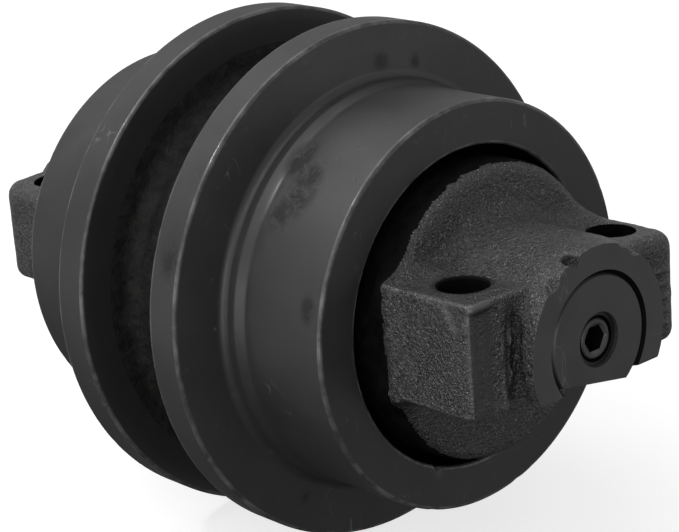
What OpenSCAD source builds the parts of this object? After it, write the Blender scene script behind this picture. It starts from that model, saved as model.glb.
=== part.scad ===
// Double-flange track roller: a two-piece welded shell turning on a fixed oil-filled shaft,
// with a floating face seal at each end and two cast collars that bolt to the track frame.
// The roller axis is Y, the collars' mounting faces look down (-Z), and the origin is the
// centre of the roller. Units are millimetres.

/* [Roller shell] */
// Diameter of the two treads that the track links run on
tread_d = 120; // [110:1:160]
// Width of one tread, from the end face to the flange
tread_w = 40; // [30:0.5:60]
// Height of the guide flanges above the treads
flange_h = 18; // [10:0.5:30]
// Thickness of one flange at its rim
flange_w = 11.5; // [8:0.5:20]
// Width of the gap between the two flanges
flange_gap = 32; // [26:0.5:60]
// Depth of the as-forged hub between the flanges, below the treads
hub_drop = 1.5; // [0:0.5:6]
// Radius of the fillet at the foot of each flange
flange_fillet_r = 5; // [2:0.5:7]
// Extra thickness of a flange at its foot, on the tread side
flange_taper = 1.4; // [0.2:0.1:3]
// Height of the raised shoulder between tread and flange
shoulder_h = 1.2; // [0.4:0.1:2]
// Width of the raised shoulder between tread and flange
shoulder_w = 4; // [1:0.5:6]
// Chamfer on the rims and tread ends
rim_chamfer = 0.8; // [0.3:0.1:2]
// Depth of the open recess in each end of the shell
recess_depth = 13; // [10:0.5:16]
// Radial gap between the shell's recess and the collar's disc
disc_gap = 3.5; // [1:0.5:6]
// Depth of the oil cavity's wall beyond the bush bore
cavity_step = 5.45; // [2:0.05:10]
// Width of the oil cavity between the two bushes
cavity_w = 19.8; // [12:0.2:30]

/* [Shaft and bushes] */
// Diameter of the shaft inside the bushes
journal_d = 45; // [36:0.5:54]
// Step down from the journal to the shaft ends, on the radius
shaft_step = 4; // [2:0.5:5]
// Radial running clearance of a bush on the shaft
bush_clear = 0.05; // [0.02:0.01:0.1]
// Wall thickness of a bush
bush_wall = 4; // [3:0.25:5]
// Radial height of a bush's thrust flange above the bush
bush_flange_h = 5.95; // [3:0.05:8]
// Thickness of a bush's thrust flange
bush_flange_t = 4; // [3:0.25:6]
// Radial gap around a bush's thrust flange
bush_flange_gap = 0.5; // [0.2:0.1:1]
// Width of the ring of the collar's inner hub that meets the thrust flange
thrust_land = 4.5; // [2:0.5:5.5]
// End play of the shell between the two collars, on each side
end_play = 0.1; // [0.05:0.01:0.2]
// Depth of the shaft end below the collar's outer face
shaft_sink = 0.3; // [0.1:0.1:3]
// Chamfer on the shaft ends
shaft_chamfer = 0.8; // [0.3:0.1:2]
// Clearance of the shaft's flat below the mounting face
flat_gap = 0.2; // [0:0.1:1]
// Length of the shaft's flat
shaft_flat_len = 32; // [20:1:36]
// Angle of the shaft's flat from the mounting face
shaft_flat_turn = 10; // [0:1:12]
// Diameter of the oil gallery along the shaft
gallery_d = 8; // [5:0.5:10]
// Diameter of the cross hole that feeds oil to the cavity
feed_d = 6; // [3:0.5:8]

/* [Floating face seals] */
// Radial gap between a metal seal ring and the collar's inner hub
seal_hub_gap = 2.5; // [1:0.5:4]
// Wall of a metal seal ring's body
seal_wall = 3; // [2:0.25:5]
// Radial room for the rubber ring between the metal ring and its pocket
toric_room = 6; // [4:0.25:8]
// Squeeze of the rubber ring in that room
toric_squeeze = 0.6; // [0.3:0.1:1]
// Radial gap around a metal seal ring's lapped face
seal_face_gap = 1.5; // [0.5:0.25:2.5]
// Axial length of one metal seal ring
seal_len = 9; // [8:0.2:11]
// Depth of the seal pocket beyond the ring's length
seal_room = 1; // [0.5:0.1:3]
// Axial thickness of a metal seal ring's face flange
seal_face_t = 2.5; // [1.5:0.1:3]
// Height of the ramp under the face flange
seal_ramp = 1.5; // [0.5:0.1:2]
// How far the rubber ring nests into that ramp
toric_nest = 0.9; // [0.3:0.1:1.2]
// Oil film between the two lapped faces
seal_film = 0.04; // [0.02:0.01:0.1]
// Axial gap between the rims of the shell's and the collar's pockets
rim_gap = 1.5; // [0.8:0.1:2]

/* [Collar] */
// Wall of the collar around its seal pocket
collar_wall = 5; // [4:0.5:8]
// Distance of the disc's rounded rim outside the shell's end face
disc_out = 9; // [6:0.5:12]
// Radius of the disc's rounded rim
disc_round = 3.5; // [1:0.5:4]
// Height of the disc's low dome
disc_dome = 1.5; // [0.5:0.1:3]
// Wall of the boss around the shaft end
boss_wall = 8.25; // [6:0.25:10]
// Height of the machined boss face above the ears' outer face
boss_step = 6; // [4:0.5:12]
// Draft on the boss's side
boss_draft = 1; // [0.3:0.1:2]
// Height of the ears' top face above the roller axis
ear_top = 20; // [16:0.5:24]
// Distance of the mounting face below the roller axis
seat_drop = 12; // [10:0.5:14]
// Wall of an ear beyond its bolt hole, at the ear's end
ear_end_wall = 6; // [4:0.5:12]
// Wall of an ear beyond its bolt hole, at the ear's outer face
ear_out_wall = 8; // [5:0.5:14]
// Radius of the ears' upright corners
ear_corner_r = 4; // [1:0.5:6]
// Radius of the cove where the ears' top meets the disc
ear_cove_r = 7; // [3:0.5:9]
// Depth of the shallow hollow down each ear's outer face
ear_hollow = 0.9; // [0.3:0.1:1.5]
// Width of the shallow hollow
ear_hollow_w = 9; // [5:0.5:10]
// Radial clearance of the collar on the shaft end
collar_clear = 0.02; // [0.01:0.01:0.05]
// Chamfer at the mouth of the collar's bore
collar_chamfer = 0.9; // [0.3:0.1:1.5]
// Width of the notches in the boss's rim
notch_w = 3; // [1:0.5:5]
// Angle of the notches from the top of the boss
notch_angle = 43; // [35:1:50]
// Diameter of the locating dimple on the boss
dimple_d = 4.4; // [2:0.2:6]
// Depth of the locating dimple
dimple_depth = 1.2; // [0.4:0.1:2]
// Angle of the dimple from the top of the boss
dimple_angle = 20; // [10:1:28]

/* [Fasteners and small parts] */
// Diameter of the four frame bolt holes
bolt_hole_d = 14; // [11:0.2:17]
// Wall between a bolt hole and the shaft's bore
bolt_wall = 4.5; // [3:0.5:8]
// Distance of the bolt holes outside the shell's end face
bolt_out = 26; // [24:0.5:34]
// Width of the spot face around each bolt hole
spot_rim = 5; // [2:0.5:5.5]
// Depth of the spot face
spot_depth = 0.6; // [0.2:0.1:1.5]
// Diameter of the pin that locks a collar to the shaft
pin_d = 6; // [4:0.5:7]
// Distance of the lock pin's axis in from the side of the shaft end
pin_inset = 9; // [8:0.1:10]
// Distance of the lock pin's axis outside the disc's rim
pin_stand = 15; // [8:0.5:20]
// Depth of the lock pin in the collar's crown above the bore
pin_crown = 5; // [3:0.5:6]
// Section diameter of the shaft O-rings before they are squeezed
oring_d = 2.9; // [2.4:0.1:3.5]
// Squeeze of the shaft O-rings in their grooves
oring_squeeze = 0.4; // [0.2:0.1:0.6]
// Extra width of the O-ring groove
oring_room = 1.3; // [0.6:0.1:2]
// Diameter of the oil plug's thread
plug_d = 13.2; // [11:0.1:16]
// Length of the oil plug
plug_len = 11; // [9:0.5:16]
// Distance across the flats of the plug's hexagon socket
plug_hex = 7; // [5:0.5:8]
// Thickness of the plug's floor below its hexagon socket
plug_floor = 5; // [2:0.5:7]
// Width of the counterbore's land around the plug
plug_land = 1.2; // [0.6:0.1:2]
// Depth of the plug's outer face in the counterbore
plug_sink = 1.2; // [0.4:0.1:5]

/* [Weld] */
// Width of the weld bead between the shell halves
weld_w = 9; // [6:0.5:14]
// Depth of the weld below the hub
weld_depth = 8; // [4:0.5:12]
// Height of the weld bead above the hub
weld_crown = 1.1; // [0.3:0.1:2]

/* [Hidden] */
$fn = 96;
// Overlap used where one cutting shape runs past another
eps = 0.5;
// Diameters, from the shaft outward
shaft_end_d = journal_d - 2 * shaft_step;
collar_bore_d = shaft_end_d + 2 * collar_clear;
boss_d = shaft_end_d + 2 * boss_wall;
bush_id = journal_d + 2 * bush_clear;
bush_od = bush_id + 2 * bush_wall;
bush_flange_d = bush_od + 2 * bush_flange_h;
cavity_d = bush_od + 2 * cavity_step;
hub_in_d = journal_d + 2 * thrust_land;
seal_id = hub_in_d + 2 * seal_hub_gap;
seal_body_d = seal_id + 2 * seal_wall;
pocket_d = seal_body_d + 2 * toric_room;
seal_face_d = pocket_d - 2 * seal_face_gap;
toric_d = toric_room + toric_squeeze;
disc_d = pocket_d + 2 * collar_wall;
recess_d = disc_d + 2 * disc_gap;
flange_d = tread_d + 2 * flange_h;
hub_d = tread_d - 2 * hub_drop;
// Axial stations, measured outward from the middle of the roller
flange_in_a = flange_gap / 2;
flange_out_a = flange_in_a + flange_w;
shell_a = flange_out_a + tread_w;
recess_a = shell_a - recess_depth;
pocket_depth = seal_len + seal_room;
pocket_a = recess_a - pocket_depth;
thrust_a = pocket_a - eps;
bush_out_a = thrust_a - end_play;
bush_seat_a = bush_out_a - bush_flange_t;
bush_in_a = cavity_w / 2;
disc_a = shell_a + disc_out;
bolt_a = shell_a + bolt_out;
ear_a = bolt_a + bolt_hole_d / 2 + ear_out_wall;
boss_a = ear_a + boss_step;
pin_a = disc_a + pin_stand;
shaft_a = boss_a - shaft_sink;
// The two lapped faces meet just outside the step of the recess
rim_a = recess_a + rim_gap;
seal_a = (recess_a + rim_a) / 2;
collar_pocket_a = rim_a + pocket_depth;
toric_mid_r = (seal_body_d + pocket_d) / 4;
toric_a = seal_face_t + seal_ramp + toric_d / 2 - toric_nest;
// Shaft details
shaft_flat = seat_drop + flat_gap;
gallery_in_a = gallery_d;
oring_groove = oring_d - oring_squeeze;
oring_a = (pocket_a + collar_pocket_a) / 2;
oring_w = oring_d + oring_room;
plug_bore_d = plug_d + 2 * plug_land;
plug_hex_depth = plug_len - plug_floor;
pin_x = shaft_end_d / 2 - pin_inset;
pin_top = sqrt(pow(collar_bore_d / 2, 2) - pow(pin_x, 2)) + pin_crown;
// Collar details
bolt_pitch_x = shaft_end_d + 2 * bolt_wall + bolt_hole_d;
ear_span = bolt_pitch_x + bolt_hole_d + 2 * ear_end_wall;
spot_d = bolt_hole_d + 2 * spot_rim;
hollow_r = (pow(ear_hollow_w / 2, 2) + pow(ear_hollow, 2)) / (2 * ear_hollow);
hollow_x = ear_span / 2 - ear_hollow_w / 2 - rim_chamfer;
cove_half = sqrt(pow(disc_d / 2 - disc_round, 2) - pow(ear_top + ear_cove_r, 2));
notch_len = 0.7 * boss_step;
paint = [0.13, 0.13, 0.14];
cast = [0.17, 0.17, 0.18];
steel = [0.62, 0.62, 0.64];
rubber = [0.06, 0.06, 0.06];
bronze = [0.66, 0.48, 0.26];
zinc = [0.5, 0.5, 0.5];

// Turns a profile drawn as (radius, distance outward) about the roller axis, on the -Y side
module turn_front() { rotate([90, 0, 0]) rotate_extrude($fn = 180) children(); }

// A cylinder on the roller axis between two outward distances on the -Y side
module axial(d, a0, a1) { translate([0, -a0, 0]) rotate([90, 0, 0]) cylinder(d = d, h = a1 - a0); }

// The same end pieces at the other end of the roller, turned about the upright axis
module rear() { rotate([0, 0, 180]) children(); }

// Ring profile: a rectangle from r0 to r1 and from a0 to a1
module band(r0, r1, a0, a1) { translate([r0, a0]) square([r1 - r0, a1 - a0]); }

// A concave corner of radius r that fills towards -x and -y of its own origin
module cove(r) {
  difference() {
    square([r, r]);
    translate([r, r]) circle(r = r, $fn = 64);
  }
}

// ---- Roller shell ----

module shell_outline() {
  rim = flange_d / 2;
  tread = tread_d / 2;
  shoulder = tread + shoulder_h;
  foot_a = flange_out_a + flange_taper;
  step_a = foot_a + shoulder_w;
  polygon([
    [0, 0],
    [hub_d / 2, 0],
    [hub_d / 2, flange_in_a],
    [rim - rim_chamfer, flange_in_a],
    [rim, flange_in_a + rim_chamfer],
    [rim, flange_out_a - rim_chamfer],
    [rim - rim_chamfer, flange_out_a],
    [shoulder + flange_fillet_r, foot_a],
    [shoulder, foot_a],
    [shoulder, step_a],
    [tread, step_a + shoulder_h],
    [tread, shell_a - rim_chamfer],
    [tread - rim_chamfer, shell_a],
    [0, shell_a]
  ]);
  translate([hub_d / 2, flange_in_a]) mirror([0, 1]) cove(flange_fillet_r);
  translate([shoulder, foot_a]) cove(shoulder_w);
}

module shell_bores() {
  band(0, recess_d / 2, recess_a, shell_a + eps);
  polygon([
    [0, shell_a - rim_chamfer],
    [recess_d / 2, shell_a - rim_chamfer],
    [recess_d / 2 + rim_chamfer, shell_a],
    [recess_d / 2 + rim_chamfer, shell_a + eps],
    [0, shell_a + eps]
  ]);
  band(0, pocket_d / 2, pocket_a, recess_a + eps);
  band(0, bush_flange_d / 2 + bush_flange_gap, bush_seat_a, pocket_a + eps);
  band(0, bush_od / 2, bush_in_a - eps, bush_seat_a + eps);
  band(0, cavity_d / 2, -eps, bush_in_a);
}

// The bevel that the weld fills, on one half
module weld_prep() {
  polygon([
    [hub_d / 2 - weld_depth, -eps],
    [hub_d / 2 - weld_depth, 0],
    [hub_d / 2, weld_w / 2],
    [hub_d / 2 + weld_crown, weld_w / 2],
    [hub_d / 2 + weld_crown, -eps]
  ]);
}

module shell_half() {
  turn_front() {
    difference() {
      shell_outline();
      shell_bores();
      weld_prep();
    }
  }
}

module shell_half_front() { color(paint) shell_half(); }

module shell_half_rear() { color(paint) rear() shell_half(); }

module centre_weld() {
  crown_r = (pow(weld_w / 2, 2) + pow(weld_crown, 2)) / (2 * weld_crown);
  color(paint) turn_front() {
    polygon([
      [hub_d / 2 - weld_depth, 0],
      [hub_d / 2, -weld_w / 2],
      [hub_d / 2, weld_w / 2]
    ]);
    intersection() {
      translate([hub_d / 2 + weld_crown - crown_r, 0]) circle(r = crown_r, $fn = 96);
      band(hub_d / 2, hub_d / 2 + weld_crown, -weld_w / 2, weld_w / 2);
    }
  }
}

// ---- Bushes ----

module bush() {
  turn_front() {
    band(bush_id / 2, bush_od / 2, bush_in_a, bush_out_a);
    band(bush_id / 2, bush_flange_d / 2, bush_seat_a, bush_out_a);
  }
}

module bush_front() { color(bronze) bush(); }

module bush_rear() { color(bronze) rear() bush(); }

// ---- Floating face seal, drawn with its lapped face at 0 and its body towards +y ----

module seal_ring_profile() {
  polygon([
    [seal_id / 2, 0],
    [seal_face_d / 2, 0],
    [seal_face_d / 2, seal_face_t],
    [seal_body_d / 2 + seal_ramp, seal_face_t],
    [seal_body_d / 2, seal_face_t + seal_ramp],
    [seal_body_d / 2, seal_len],
    [seal_id / 2, seal_len]
  ]);
}

module seal_rubber_profile() {
  intersection() {
    translate([toric_mid_r, toric_a]) circle(d = toric_d, $fn = 64);
    band(seal_body_d / 2, pocket_d / 2, 0, toric_a + toric_d);
  }
}

// Places a seal profile on the fixed side of the lapped faces
module fixed_side() { turn_front() translate([0, seal_a + seal_film / 2]) children(); }

// Places a seal profile on the turning side of the lapped faces
module turning_side() { turn_front() translate([0, seal_a - seal_film / 2]) mirror([0, 1]) children(); }

module seal_ring_turning_front() { color(steel) turning_side() seal_ring_profile(); }

module seal_ring_turning_rear() { color(steel) rear() turning_side() seal_ring_profile(); }

module seal_ring_fixed_front() { color(steel) fixed_side() seal_ring_profile(); }

module seal_ring_fixed_rear() { color(steel) rear() fixed_side() seal_ring_profile(); }

module seal_rubber_turning_front() { color(rubber) turning_side() seal_rubber_profile(); }

module seal_rubber_turning_rear() { color(rubber) rear() turning_side() seal_rubber_profile(); }

module seal_rubber_fixed_front() { color(rubber) fixed_side() seal_rubber_profile(); }

module seal_rubber_fixed_rear() { color(rubber) rear() fixed_side() seal_rubber_profile(); }

// ---- Shaft ----

module shaft_body() {
  turn_front() {
    band(0, journal_d / 2, 0, thrust_a);
    polygon([
      [0, 0],
      [shaft_end_d / 2, 0],
      [shaft_end_d / 2, shaft_a - shaft_chamfer],
      [shaft_end_d / 2 - shaft_chamfer, shaft_a],
      [0, shaft_a]
    ]);
  }
}

module shaft_end_cuts() {
  turn_front()
    band(shaft_end_d / 2 - oring_groove, shaft_end_d, oring_a - oring_w / 2, oring_a + oring_w / 2);
  rotate([0, shaft_flat_turn, 0])
    translate([-shaft_end_d / 2, -shaft_a - eps, -shaft_flat - shaft_end_d])
      cube([shaft_end_d, shaft_flat_len + eps, shaft_end_d]);
  pin_hole();
}

// The hole of one lock pin, on the -Y side
module pin_hole() {
  translate([pin_x, -pin_a, -shaft_end_d]) cylinder(d = pin_d, h = shaft_end_d + pin_top);
}

module shaft() {
  color(steel) difference() {
    union() {
      shaft_body();
      rear() shaft_body();
    }
    shaft_end_cuts();
    rear() shaft_end_cuts();
    axial(plug_bore_d, shaft_a - plug_sink, shaft_a + eps);
    axial(plug_d, shaft_a - plug_sink - plug_len, shaft_a);
    axial(gallery_d, -gallery_in_a, shaft_a);
    cylinder(d = feed_d, h = journal_d, center = true);
  }
}

module shaft_oring() {
  groove_r = shaft_end_d / 2 - oring_groove;
  mid_r = (groove_r + collar_bore_d / 2) / 2;
  turn_front() intersection() {
    translate([mid_r, oring_a]) circle(d = oring_d, $fn = 48);
    band(groove_r, collar_bore_d / 2, oring_a - oring_w, oring_a + oring_w);
  }
}

module shaft_oring_front() { color(rubber) shaft_oring(); }

module shaft_oring_rear() { color(rubber) rear() shaft_oring(); }

module lock_pin() {
  translate([pin_x, -pin_a, -seat_drop]) cylinder(d = pin_d, h = seat_drop + pin_top);
}

module lock_pin_front() { color(zinc) lock_pin(); }

module lock_pin_rear() { color(zinc) rear() lock_pin(); }

module oil_plug() {
  top_a = shaft_a - plug_sink;
  color(zinc) difference() {
    axial(plug_d, top_a - plug_len, top_a);
    translate([0, plug_hex_depth - top_a, 0]) rotate([90, 0, 0])
      cylinder(d = plug_hex / cos(30), h = plug_hex_depth + eps, $fn = 6);
  }
}

// ---- Collar ----

// The turned part of the collar: inner hub, seal pocket, disc and low dome
module collar_turned() {
  rim_r = disc_d / 2;
  turn_front() {
    band(collar_bore_d / 2, hub_in_d / 2, thrust_a, disc_a);
    band(pocket_d / 2, rim_r, rim_a, disc_a - disc_round);
    band(collar_bore_d / 2, rim_r - disc_round, collar_pocket_a, disc_a);
    band(collar_bore_d / 2, rim_r, collar_pocket_a, disc_a - disc_round);
    intersection() {
      translate([rim_r - disc_round, disc_a - disc_round]) circle(r = disc_round, $fn = 64);
      band(collar_bore_d / 2, rim_r, collar_pocket_a, disc_a);
    }
    polygon([
      [collar_bore_d / 2, disc_a - eps],
      [rim_r - disc_round, disc_a],
      [boss_d / 2, disc_a + disc_dome],
      [collar_bore_d / 2, disc_a + disc_dome]
    ]);
  }
}

// Plan of the two ears, looking down, with round outer corners and coves at the disc
module ear_plan() {
  half = ear_span / 2;
  difference() {
    union() {
      translate([-half, -ear_a + ear_corner_r]) square([ear_span, ear_a - disc_a + eps]);
      translate([-half + ear_corner_r, -ear_a]) square([ear_span - 2 * ear_corner_r, ear_corner_r * 2]);
      for (s = [-1, 1])
        translate([s * (half - ear_corner_r), -ear_a + ear_corner_r]) circle(r = ear_corner_r, $fn = 48);
    }
    for (s = [-1, 1])
      translate([s * hollow_x, -ear_a - hollow_r + ear_hollow]) circle(r = hollow_r, $fn = 96);
  }
}

// Cove along the ears' top face where it meets the disc, kept inside the disc's rounded rim
module ear_top_cove() {
  translate([cove_half, 0, 0]) rotate([90, 0, -90])
    translate([disc_a, ear_top, 0]) linear_extrude(height = 2 * cove_half) {
      translate([-eps, -eps]) square([eps, ear_cove_r + eps]);
      translate([-eps, -eps]) square([ear_cove_r + eps, eps]);
      cove(ear_cove_r);
    }
}

module boss_solid() {
  turn_front() polygon([
    [0, collar_pocket_a],
    [boss_d / 2 + boss_draft, collar_pocket_a],
    [boss_d / 2 + boss_draft, ear_a - boss_draft],
    [boss_d / 2, boss_a],
    [0, boss_a]
  ]);
}

module collar() {
  difference() {
    union() {
      collar_turned();
      difference() {
        union() {
          translate([0, 0, -seat_drop]) linear_extrude(height = seat_drop + ear_top) ear_plan();
          ear_top_cove();
          boss_solid();
        }
        translate([-ear_span, -boss_a - eps, -ear_span - seat_drop])
          cube([2 * ear_span, boss_a - disc_a + eps, ear_span]);
        axial(pocket_d, rim_a, collar_pocket_a + eps);
      }
    }
    axial(collar_bore_d, thrust_a - eps, boss_a + eps);
    turn_front() polygon([
      [0, boss_a - collar_chamfer],
      [collar_bore_d / 2, boss_a - collar_chamfer],
      [collar_bore_d / 2 + collar_chamfer + eps, boss_a + eps],
      [0, boss_a + eps]
    ]);
    for (s = [-1, 1]) {
      translate([s * bolt_pitch_x / 2, -bolt_a, -seat_drop - eps])
        cylinder(d = bolt_hole_d, h = seat_drop + ear_top + 2 * eps);
      translate([s * bolt_pitch_x / 2, -bolt_a, ear_top - spot_depth])
        cylinder(d = spot_d, h = spot_depth + eps);
      rotate([0, s * notch_angle, 0])
        translate([-notch_w / 2, -boss_a - eps, boss_d / 2 - notch_w / 2])
          cube([notch_w, notch_len + eps, notch_w]);
    }
    rotate([0, -dimple_angle, 0])
      translate([0, -boss_a + dimple_d / 4, boss_d / 2 - dimple_depth])
        cylinder(d = dimple_d, h = dimple_d);
    pin_hole();
  }
}

module collar_front() { color(cast) collar(); }

module collar_rear() { color(cast) rear() collar(); }

shell_half_front();
shell_half_rear();
centre_weld();
bush_front();
bush_rear();
seal_ring_turning_front();
seal_ring_turning_rear();
seal_rubber_turning_front();
seal_rubber_turning_rear();
seal_ring_fixed_front();
seal_ring_fixed_rear();
seal_rubber_fixed_front();
seal_rubber_fixed_rear();
shaft();
shaft_oring_front();
shaft_oring_rear();
collar_front();
collar_rear();
lock_pin_front();
lock_pin_rear();
oil_plug();
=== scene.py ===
# Track roller: looks. Metres throughout; helper shapes are worked out in millimetres.
# "Outward" distances (a) run from the middle of the roller along its axis; the front end is at -Y.
import math
import bpy
import bmesh
import numpy as np
from mathutils import Matrix, Vector


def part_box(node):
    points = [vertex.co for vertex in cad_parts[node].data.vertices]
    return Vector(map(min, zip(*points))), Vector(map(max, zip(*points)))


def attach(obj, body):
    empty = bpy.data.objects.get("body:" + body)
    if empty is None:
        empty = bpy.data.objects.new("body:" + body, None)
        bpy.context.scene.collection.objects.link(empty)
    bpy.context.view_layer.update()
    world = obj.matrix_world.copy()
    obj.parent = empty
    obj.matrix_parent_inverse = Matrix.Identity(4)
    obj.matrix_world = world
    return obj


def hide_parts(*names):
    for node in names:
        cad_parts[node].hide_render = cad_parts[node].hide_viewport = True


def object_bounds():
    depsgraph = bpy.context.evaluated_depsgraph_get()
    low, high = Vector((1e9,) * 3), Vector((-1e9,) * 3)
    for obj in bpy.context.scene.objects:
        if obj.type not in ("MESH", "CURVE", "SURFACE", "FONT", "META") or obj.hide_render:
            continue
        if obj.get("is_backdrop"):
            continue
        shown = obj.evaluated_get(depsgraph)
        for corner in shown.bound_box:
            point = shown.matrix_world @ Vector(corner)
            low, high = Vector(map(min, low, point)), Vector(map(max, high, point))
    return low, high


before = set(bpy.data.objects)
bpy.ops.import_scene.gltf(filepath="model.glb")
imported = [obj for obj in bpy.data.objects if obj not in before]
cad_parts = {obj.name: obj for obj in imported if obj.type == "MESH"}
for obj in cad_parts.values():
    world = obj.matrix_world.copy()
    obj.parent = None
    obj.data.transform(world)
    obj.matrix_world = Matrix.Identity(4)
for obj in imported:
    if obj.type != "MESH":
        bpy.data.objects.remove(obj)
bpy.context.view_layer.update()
MM = 0.001


def corner(node, which):
    """A corner of a CAD node's box, in millimetres."""
    return [v * 1000.0 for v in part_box(node)[which]]


# ---- Sizes read from the frame ----
SHELL_A = -corner("shell_half_front", 0)[1]
FLANGE_R = corner("shell_half_front", 1)[2]
BOSS_A = -corner("collar_front", 0)[1]
HUB_A = -corner("collar_front", 1)[1]
DISC_R = corner("collar_front", 1)[2]
PLUG_A = -corner("oil_plug", 0)[1]
PLUG_R = corner("oil_plug", 1)[2]
WELD_R = corner("centre_weld", 1)[2]
SEAT_Z = corner("lock_pin_front", 0)[2]
BUSH_IN_A = -corner("bush_front", 1)[1]
THRUST_R = corner("bush_front", 1)[2]

# ---- Sizes that follow the same design ----
TREAD_R, HUB_R, RECESS_R, POCKET_R = 60.0, 58.5, 47.0, 38.5
RECESS_A, POCKET_A = SHELL_A - 13.0, SHELL_A - 23.0
FLANGE_IN_A, FLANGE_OUT_A = 16.0, 27.5
BORE_R = 18.52
EAR_HALF, EAR_TOP, EAR_A = 43.0, 20.0, SHELL_A + 41.0
BOLT_X, BOLT_A, BOLT_R = 30.0, SHELL_A + 26.0, 7.0
SPOT_R, SPOT_DEPTH = 8.4, 0.12
PIN_HOLE_R = 3.0
HEX_FLATS = 7.0
DISC_A = SHELL_A + 9.0
WELD_HALF = 4.5
WELD_ROOT_R = HUB_R - 8.0
RIM_ROUND = 0.9
BUSH_SEAT_A = -corner("bush_front", 0)[1] - 4.0
BUSH_BORE_R, CAVITY_R = 26.55, 32.0
KNOCKS = 46
NOISE_SEED = 7


# ---------------------------------------------------------------- noise
def lattice(seed, n=64):
    return np.random.default_rng(seed).uniform(-1.0, 1.0, (n, n, n)).astype(np.float32)


LATTICE = lattice(NOISE_SEED)


def noise3(p, size, shift=0.0):
    """Smooth value noise, about -1 to 1, with features of the given size in millimetres."""
    q = np.asarray(p, np.float32) / size + 31.7 + shift
    i = np.floor(q).astype(np.int64)
    f = (q - i).astype(np.float32)
    f = f * f * (3.0 - 2.0 * f)
    n = LATTICE.shape[0]
    a, b = i % n, (i + 1) % n
    out = 0.0
    for dx in (0, 1):
        wx = f[..., 0] if dx else 1.0 - f[..., 0]
        ix = b[..., 0] if dx else a[..., 0]
        for dy in (0, 1):
            wy = f[..., 1] if dy else 1.0 - f[..., 1]
            iy = b[..., 1] if dy else a[..., 1]
            for dz in (0, 1):
                wz = f[..., 2] if dz else 1.0 - f[..., 2]
                iz = b[..., 2] if dz else a[..., 2]
                out = out + wx * wy * wz * LATTICE[ix, iy, iz]
    return out


# ---------------------------------------------------------------- materials
def new_material(name, rough, base, metallic=0.0, spec=0.5):
    m = bpy.data.materials.new(name)
    m.use_nodes = True
    nt = m.node_tree
    bsdf = nt.nodes["Principled BSDF"]
    bsdf.inputs["Base Color"].default_value = (*base, 1.0)
    bsdf.inputs["Roughness"].default_value = rough
    bsdf.inputs["Metallic"].default_value = metallic
    bsdf.inputs["Specular IOR Level"].default_value = spec
    return m, nt, bsdf


def coords(nt, scale=(1.0, 1.0, 1.0)):
    tc = nt.nodes.new("ShaderNodeTexCoord")
    mp = nt.nodes.new("ShaderNodeMapping")
    mp.inputs["Scale"].default_value = scale
    nt.links.new(tc.outputs["Object"], mp.inputs["Vector"])
    return mp.outputs["Vector"]


def noise_tex(nt, vec, scale, detail=3.0, rough=0.55, distortion=0.0):
    n = nt.nodes.new("ShaderNodeTexNoise")
    n.inputs["Scale"].default_value = scale
    n.inputs["Detail"].default_value = detail
    n.inputs["Roughness"].default_value = rough
    n.inputs["Distortion"].default_value = distortion
    nt.links.new(vec, n.inputs["Vector"])
    return n.outputs["Fac"]


def ramp(nt, fac, stops):
    r = nt.nodes.new("ShaderNodeValToRGB")
    el = r.color_ramp.elements
    while len(el) < len(stops):
        el.new(0.5)
    for e, (pos, col) in zip(el, stops):
        e.position = pos
        e.color = (*col, 1.0) if len(col) == 3 else col
    nt.links.new(fac, r.inputs["Fac"])
    return r.outputs["Color"]


def grey(v):
    return (v, v, v)


def math_node(nt, op, a, b=None, clamp=False):
    n = nt.nodes.new("ShaderNodeMath")
    n.operation = op
    n.use_clamp = clamp
    for i, v in enumerate((a, b)):
        if v is None:
            continue
        if isinstance(v, (int, float)):
            n.inputs[i].default_value = v
        else:
            nt.links.new(v, n.inputs[i])
    return n.outputs[0]


def mix_colour(nt, fac, a, b):
    n = nt.nodes.new("ShaderNodeMix")
    n.data_type = "RGBA"
    for sock, v in ((n.inputs["Factor"], fac), (n.inputs["A"], a), (n.inputs["B"], b)):
        if isinstance(v, (int, float)):
            sock.default_value = v
        elif isinstance(v, tuple):
            sock.default_value = (*v, 1.0)
        else:
            nt.links.new(v, sock)
    return n.outputs["Result"]


def attribute(nt, name):
    a = nt.nodes.new("ShaderNodeAttribute")
    a.attribute_name = name
    return a.outputs["Fac"]


def bump(nt, bsdf, layers):
    """Stacks bump layers: (height socket, strength, distance in metres)."""
    normal = None
    for height, strength, distance in layers:
        b = nt.nodes.new("ShaderNodeBump")
        if isinstance(strength, (int, float)):
            b.inputs["Strength"].default_value = strength
        else:
            nt.links.new(strength, b.inputs["Strength"])
        b.inputs["Distance"].default_value = distance
        nt.links.new(height, b.inputs["Height"])
        if normal is not None:
            nt.links.new(normal, b.inputs["Normal"])
        normal = b.outputs["Normal"]
    nt.links.new(normal, bsdf.inputs["Normal"])


def hairlines(nt, v, lowest=0.66):
    """A few thin, short scratches: where two stretched noises cross their middle value."""
    total = None
    for turn, where in ((0.6, 75.0), (-0.9, 96.0)):
        mp = nt.nodes.new("ShaderNodeMapping")
        mp.inputs["Rotation"].default_value = (turn, turn * 0.7, turn)
        mp.inputs["Scale"].default_value = (230.0, 70.0, 70.0)
        nt.links.new(v, mp.inputs["Vector"])
        n = noise_tex(nt, mp.outputs["Vector"], 1.0, 1.0, 0.4)
        off = math_node(nt, "ABSOLUTE", math_node(nt, "SUBTRACT", n, 0.5))
        line = ramp(nt, off, [(0.0, grey(1.0)), (0.010, grey(0.0))])
        patches = noise_tex(nt, v, where, 2.0, 0.5)
        mask = ramp(nt, patches, [(lowest, grey(0.0)), (lowest + 0.08, grey(0.6))])
        one = math_node(nt, "MULTIPLY", line, mask)
        total = one if total is None else math_node(nt, "MAXIMUM", total, one)
    return total


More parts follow.
